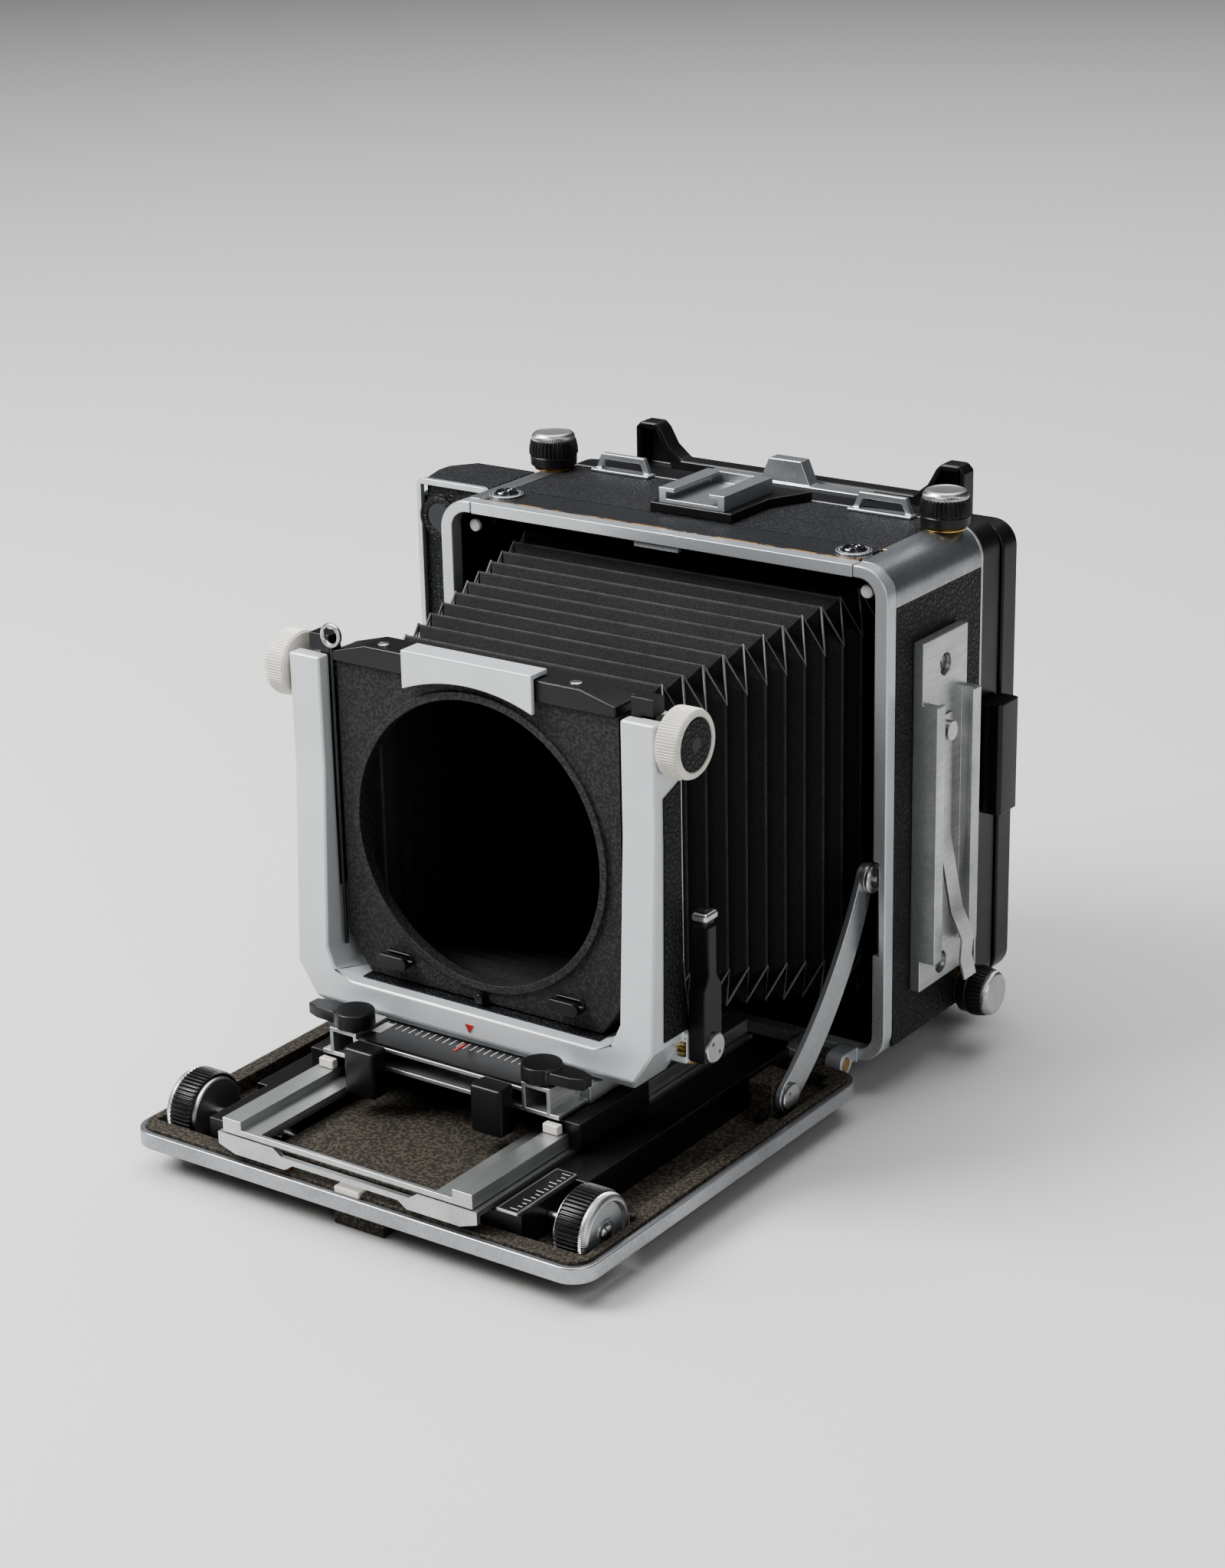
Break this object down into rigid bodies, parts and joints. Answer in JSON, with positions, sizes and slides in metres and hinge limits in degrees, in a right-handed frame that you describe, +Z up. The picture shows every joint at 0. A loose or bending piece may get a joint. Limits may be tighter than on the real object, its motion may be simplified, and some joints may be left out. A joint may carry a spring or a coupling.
{
  "type": "view camera",
  "caption": "Folding field camera body with a drop bed, focusing track, moving front standard, tapered bellows and revolving back, without a lens board.",
  "frame": {"origin": "centre of the large tripod socket's mouth, in the underside of the base plate", "axes": "+Z up, -Y towards the subject, +X to the operator's left (the grip rail's side)"},
  "size_m": [0.2094, 0.2516, 0.1795],
  "materials": {
    "hammertone_silver": "silver hammertone paint",
    "satin_silver": "satin silver-white paint",
    "black_leather": "fine black-blue leather grain",
    "black_paint": "satin black paint",
    "steel": "brushed bright steel",
    "leather_housing": "coarse black leather covering",
    "chrome": "polished, lightly worn",
    "glass": "dark coated glass",
    "ground_screen": "finely ground, matt",
    "aluminium": "satin, lightly brushed",
    "bellows_cloth": "matt folded bellows leather",
    "wrinkle_paint": "brown-black wrinkle paint",
    "black_metal": "satin black",
    "scale_metal": "satin frame round a pale plate",
    "flap_metal": "silver paint",
    "knob_black": "ribbed black",
    "ivory_plastic": "aged ivory"
  },
  "bodies": {
    "body": {"housing_shell": "hammertone_silver", "body_rims": "satin_silver", "body_coverings": "black_leather", "base_plate": "black_paint", "tripod_bushes": "steel", "rangefinder_housing": "leather_housing", "rangefinder_frame": "chrome", "rangefinder_window": "glass", "grip_rail": "aluminium", "grip_spring": "steel", "shoe_base": "black_paint", "accessory_shoe": "chrome", "strap_loops": "chrome", "bellows": "bellows_cloth", "bellows_rear_frame": "wrinkle_paint", "bed_hinge_pins": "steel"},
    "flap": {"top_flap": "flap_metal", "flap_covering": "black_leather"},
    "button_left": {"release_button_left": "chrome"},
    "button_right": {"release_button_right": "chrome"},
    "top_knob_left": {"top_knob_left": "knob_black"},
    "top_knob_right": {"top_knob_right": "knob_black"},
    "side_knob_left": {"side_knob_left": "knob_black"},
    "side_knob_right": {"side_knob_right": "knob_black"},
    "bed": {"bed_tray": "wrinkle_paint", "bed_rim": "hammertone_silver", "track_guides": "black_metal", "focus_scale": "scale_metal"},
    "strut_left": {"strut_left": "steel"},
    "strut_right": {"strut_right": "steel"},
    "main_track": {"main_track": "aluminium"},
    "focus_drive": {"focus_shaft": "steel", "focus_knobs": "knob_black"},
    "upper_track": {"upper_track": "aluminium"},
    "carriage": {"carriage": "aluminium"},
    "swing": {"shift_rail": "aluminium", "ruler_strip": "black_metal"},
    "tab_left": {"pinch_tab_left": "black_metal"},
    "tab_right": {"pinch_tab_right": "black_metal"},
    "base_lever_left": {"base_lever_left": "black_metal"},
    "base_lever_right": {"base_lever_right": "black_metal"},
    "standard": {"standard_frame": "satin_silver", "frame_inlays": "black_leather"},
    "riser": {"riser_bars": "aluminium"},
    "tilt_knob_left": {"tilt_knob_left": "ivory_plastic"},
    "tilt_knob_right": {"tilt_knob_right": "ivory_plastic"},
    "panel": {"lens_panel": "wrinkle_paint", "panel_bridge": "black_paint", "board_hooks": "black_metal"},
    "board_lock": {"board_lock": "chrome"},
    "rise_lever": {"rise_lever": "black_metal"},
    "back": {"back_frame": "black_paint", "back_rods": "steel"},
    "latch": {"back_latch": "chrome"},
    "revolving": {"revolving_back": "leather_housing"},
    "screen": {"ground_glass_frame": "black_metal", "ground_glass": "ground_screen"},
    "hood": {"hood_lid": "black_paint"},
    "slide_lock_top": {"slide_lock_top": "chrome"},
    "slide_lock_bottom": {"slide_lock_bottom": "chrome"}
  },
  "joints": [
    {"name": "flap_hinge", "type": "hinge", "parent": "body", "child": "flap", "pos_m": [0, -0.005, 0.1675], "axis": [1, 0, 0], "range_deg": [-80, 0]},
    {"name": "button_left_press", "type": "slide", "parent": "flap", "child": "button_left", "axis": [0, 0, -1], "range_m": [0, 0.0015], "stiffness_N_per_m": 400, "springref_m": -0.001},
    {"name": "button_right_press", "type": "slide", "parent": "flap", "child": "button_right", "axis": [0, 0, -1], "range_m": [0, 0.0015], "stiffness_N_per_m": 400, "springref_m": -0.001},
    {"name": "top_knob_left_turn", "type": "hinge", "parent": "body", "child": "top_knob_left", "pos_m": [0.0725, 0.025, 0.1675], "axis": [0, 0, 1], "range_deg": [0, 180]},
    {"name": "side_knob_left_turn", "type": "hinge", "parent": "body", "child": "side_knob_left", "pos_m": [0.0815, 0.025, 0.02], "axis": [1, 0, 0], "range_deg": [0, 180]},
    {"name": "top_knob_right_turn", "type": "hinge", "parent": "body", "child": "top_knob_right", "pos_m": [-0.0725, 0.025, 0.1675], "axis": [0, 0, 1], "range_deg": [0, 180]},
    {"name": "side_knob_right_turn", "type": "hinge", "parent": "body", "child": "side_knob_right", "pos_m": [-0.0815, 0.025, 0.02], "axis": [-1, 0, 0], "range_deg": [0, 180]},
    {"name": "bed_drop", "type": "hinge", "parent": "body", "child": "bed", "pos_m": [0, -0.03, 0.012], "axis": [1, 0, 0], "range_deg": [0, 30], "deforming": ["bellows"]},
    {"name": "strut_left_turn", "type": "hinge", "parent": "bed", "child": "strut_left", "pos_m": [0.073, -0.0675, 0.0172], "axis": [1, 0, 0], "range_deg": [-29, 0]},
    {"name": "strut_right_turn", "type": "hinge", "parent": "bed", "child": "strut_right", "pos_m": [-0.073, -0.0675, 0.0172], "axis": [1, 0, 0], "range_deg": [-29, 0]},
    {"name": "focus_slide", "type": "slide", "parent": "bed", "child": "main_track", "axis": [0, -1, 0], "range_m": [0, 0.09], "deforming": ["bellows"]},
    {"name": "focus_turn", "type": "hinge", "parent": "bed", "child": "focus_drive", "pos_m": [0, -0.1615, 0.0144], "axis": [1, 0, 0], "range_deg": [0, 1230]},
    {"name": "extension_slide", "type": "slide", "parent": "main_track", "child": "upper_track", "axis": [0, -1, 0], "range_m": [0, 0.09], "deforming": ["bellows"]},
    {"name": "standard_slide", "type": "slide", "parent": "upper_track", "child": "carriage", "axis": [0, -1, 0], "range_m": [-0.025, 0.02], "deforming": ["bellows"]},
    {"name": "swing", "type": "hinge", "parent": "carriage", "child": "swing", "pos_m": [0, -0.112, 0.031], "axis": [0, 0, 1], "range_deg": [-15, 15], "deforming": ["bellows"]},
    {"name": "tab_left_pinch", "type": "slide", "parent": "swing", "child": "tab_left", "axis": [-1, 0, 0], "range_m": [0, 0.003], "stiffness_N_per_m": 150, "springref_m": -0.001},
    {"name": "tab_right_pinch", "type": "slide", "parent": "swing", "child": "tab_right", "axis": [1, 0, 0], "range_m": [0, 0.003], "stiffness_N_per_m": 150, "springref_m": -0.001},
    {"name": "base_lever_left_turn", "type": "hinge", "parent": "swing", "child": "base_lever_left", "pos_m": [0.034, -0.1333, 0.039], "axis": [0, 0, 1], "range_deg": [-60, 0]},
    {"name": "base_lever_right_turn", "type": "hinge", "parent": "swing", "child": "base_lever_right", "pos_m": [-0.034, -0.1333, 0.039], "axis": [0, 0, 1], "range_deg": [0, 60]},
    {"name": "shift", "type": "slide", "parent": "swing", "child": "standard", "axis": [1, 0, 0], "range_m": [-0.02, 0.02], "deforming": ["bellows"]},
    {"name": "rise", "type": "slide", "parent": "standard", "child": "riser", "axis": [0, 0, 1], "range_m": [0, 0.055], "deforming": ["bellows"]},
    {"name": "tilt_knob_left_turn", "type": "hinge", "parent": "riser", "child": "tilt_knob_left", "pos_m": [0.0653, -0.111, 0.139], "axis": [1, 0, 0], "range_deg": [0, 180]},
    {"name": "tilt_knob_right_turn", "type": "hinge", "parent": "riser", "child": "tilt_knob_right", "pos_m": [-0.0653, -0.111, 0.139], "axis": [-1, 0, 0], "range_deg": [0, 180]},
    {"name": "tilt", "type": "hinge", "parent": "riser", "child": "panel", "pos_m": [0, -0.111, 0.139], "axis": [1, 0, 0], "range_deg": [-30, 30], "deforming": ["bellows"]},
    {"name": "board_lock_slide", "type": "slide", "parent": "panel", "child": "board_lock", "axis": [0, 0, 1], "range_m": [0, 0.004]},
    {"name": "rise_lever_turn", "type": "hinge", "parent": "standard", "child": "rise_lever", "pos_m": [0.0687, -0.102, 0.0456], "axis": [1, 0, 0], "range_deg": [-60, 0]},
    {"name": "back_extend", "type": "slide", "parent": "body", "child": "back", "axis": [0, 1, 0], "range_m": [0, 0.03], "deforming": ["bellows"]},
    {"name": "latch_slide", "type": "slide", "parent": "back", "child": "latch", "axis": [0, 0, 1], "range_m": [0, 0.003]},
    {"name": "back_revolve", "type": "hinge", "parent": "back", "child": "revolving", "pos_m": [0, 0.0466, 0.08925], "axis": [0, 1, 0], "continuous": true},
    {"name": "screen_lift", "type": "slide", "parent": "revolving", "child": "screen", "axis": [0, 1, 0], "range_m": [0, 0.012], "stiffness_N_per_m": 120, "springref_m": -0.002},
    {"name": "hood_open", "type": "hinge", "parent": "screen", "child": "hood", "pos_m": [0, 0.0696, 0.157], "axis": [1, 0, 0], "range_deg": [0, 95]},
    {"name": "slide_lock_top_move", "type": "slide", "parent": "revolving", "child": "slide_lock_top", "axis": [1, 0, 0], "range_m": [0, 0.008]},
    {"name": "slide_lock_bottom_move", "type": "slide", "parent": "revolving", "child": "slide_lock_bottom", "axis": [1, 0, 0], "range_m": [0, 0.008]}
  ],
  "couplings": [
    {"joint": "strut_left_turn", "follows": "bed_drop", "ratio": -0.93},
    {"joint": "strut_right_turn", "follows": "bed_drop", "ratio": -0.93},
    {"joint": "focus_turn", "follows": "focus_slide", "rad_per_m": 238.09},
    {"joint": "tab_right_pinch", "follows": "tab_left_pinch", "ratio": 1}
  ]
}
